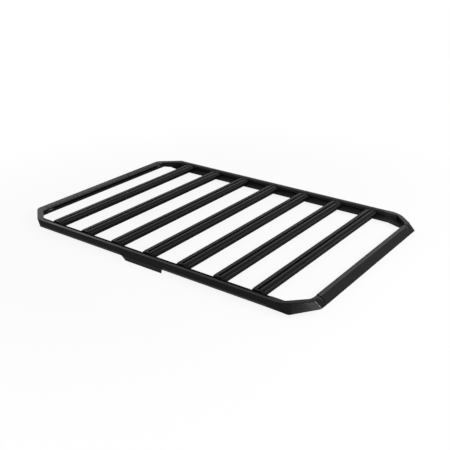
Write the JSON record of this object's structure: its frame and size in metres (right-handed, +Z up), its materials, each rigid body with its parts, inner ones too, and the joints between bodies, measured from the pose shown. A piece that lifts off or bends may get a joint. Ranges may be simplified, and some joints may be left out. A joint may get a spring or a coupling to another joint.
{
  "type": "flat platform roof rack",
  "caption": "Flat platform roof rack: slotted cross bars between extruded side rails, joined by chamfered corners, for carrying loads on a vehicle roof.",
  "frame": {"origin": "under the middle of the rack, level with the lower edge of the side plate", "axes": "+X to the front of the vehicle, +Y to its left, +Z up"},
  "size_m": [1.912, 1.295, 0.063],
  "materials": {
    "rail_coat": "black powder coat",
    "bar_coat": "black powder coat",
    "corner_coat": "black powder coat on castings",
    "bracket_plastic": "moulded black",
    "splice_metal": "dark anodised",
    "plate_coat": "black powder coat"
  },
  "bodies": {
    "root": {"side_rail_right": "rail_coat", "rear_corner_right": "corner_coat", "front_corner_right": "corner_coat", "side_splice_rear_right": "splice_metal", "side_splice_front_right": "splice_metal", "rear_splice_right": "splice_metal", "front_splice_right": "splice_metal", "side_rail_left": "rail_coat", "rear_corner_left": "corner_coat", "front_corner_left": "corner_coat", "side_splice_rear_left": "splice_metal", "side_splice_front_left": "splice_metal", "rear_splice_left": "splice_metal", "front_splice_left": "splice_metal", "rear_rail": "rail_coat", "front_rail": "rail_coat", "side_plate": "plate_coat", "cross_bar_1": "bar_coat", "bar_bracket_1_right": "bracket_plastic", "bar_bracket_1_left": "bracket_plastic", "cross_bar_2": "bar_coat", "bar_bracket_2_right": "bracket_plastic", "bar_bracket_2_left": "bracket_plastic", "cross_bar_3": "bar_coat", "bar_bracket_3_right": "bracket_plastic", "bar_bracket_3_left": "bracket_plastic", "cross_bar_4": "bar_coat", "bar_bracket_4_right": "bracket_plastic", "bar_bracket_4_left": "bracket_plastic", "cross_bar_5": "bar_coat", "bar_bracket_5_right": "bracket_plastic", "bar_bracket_5_left": "bracket_plastic", "cross_bar_6": "bar_coat", "bar_bracket_6_right": "bracket_plastic", "bar_bracket_6_left": "bracket_plastic", "cross_bar_7": "bar_coat", "bar_bracket_7_right": "bracket_plastic", "bar_bracket_7_left": "bracket_plastic"}
  },
  "joints": []
}
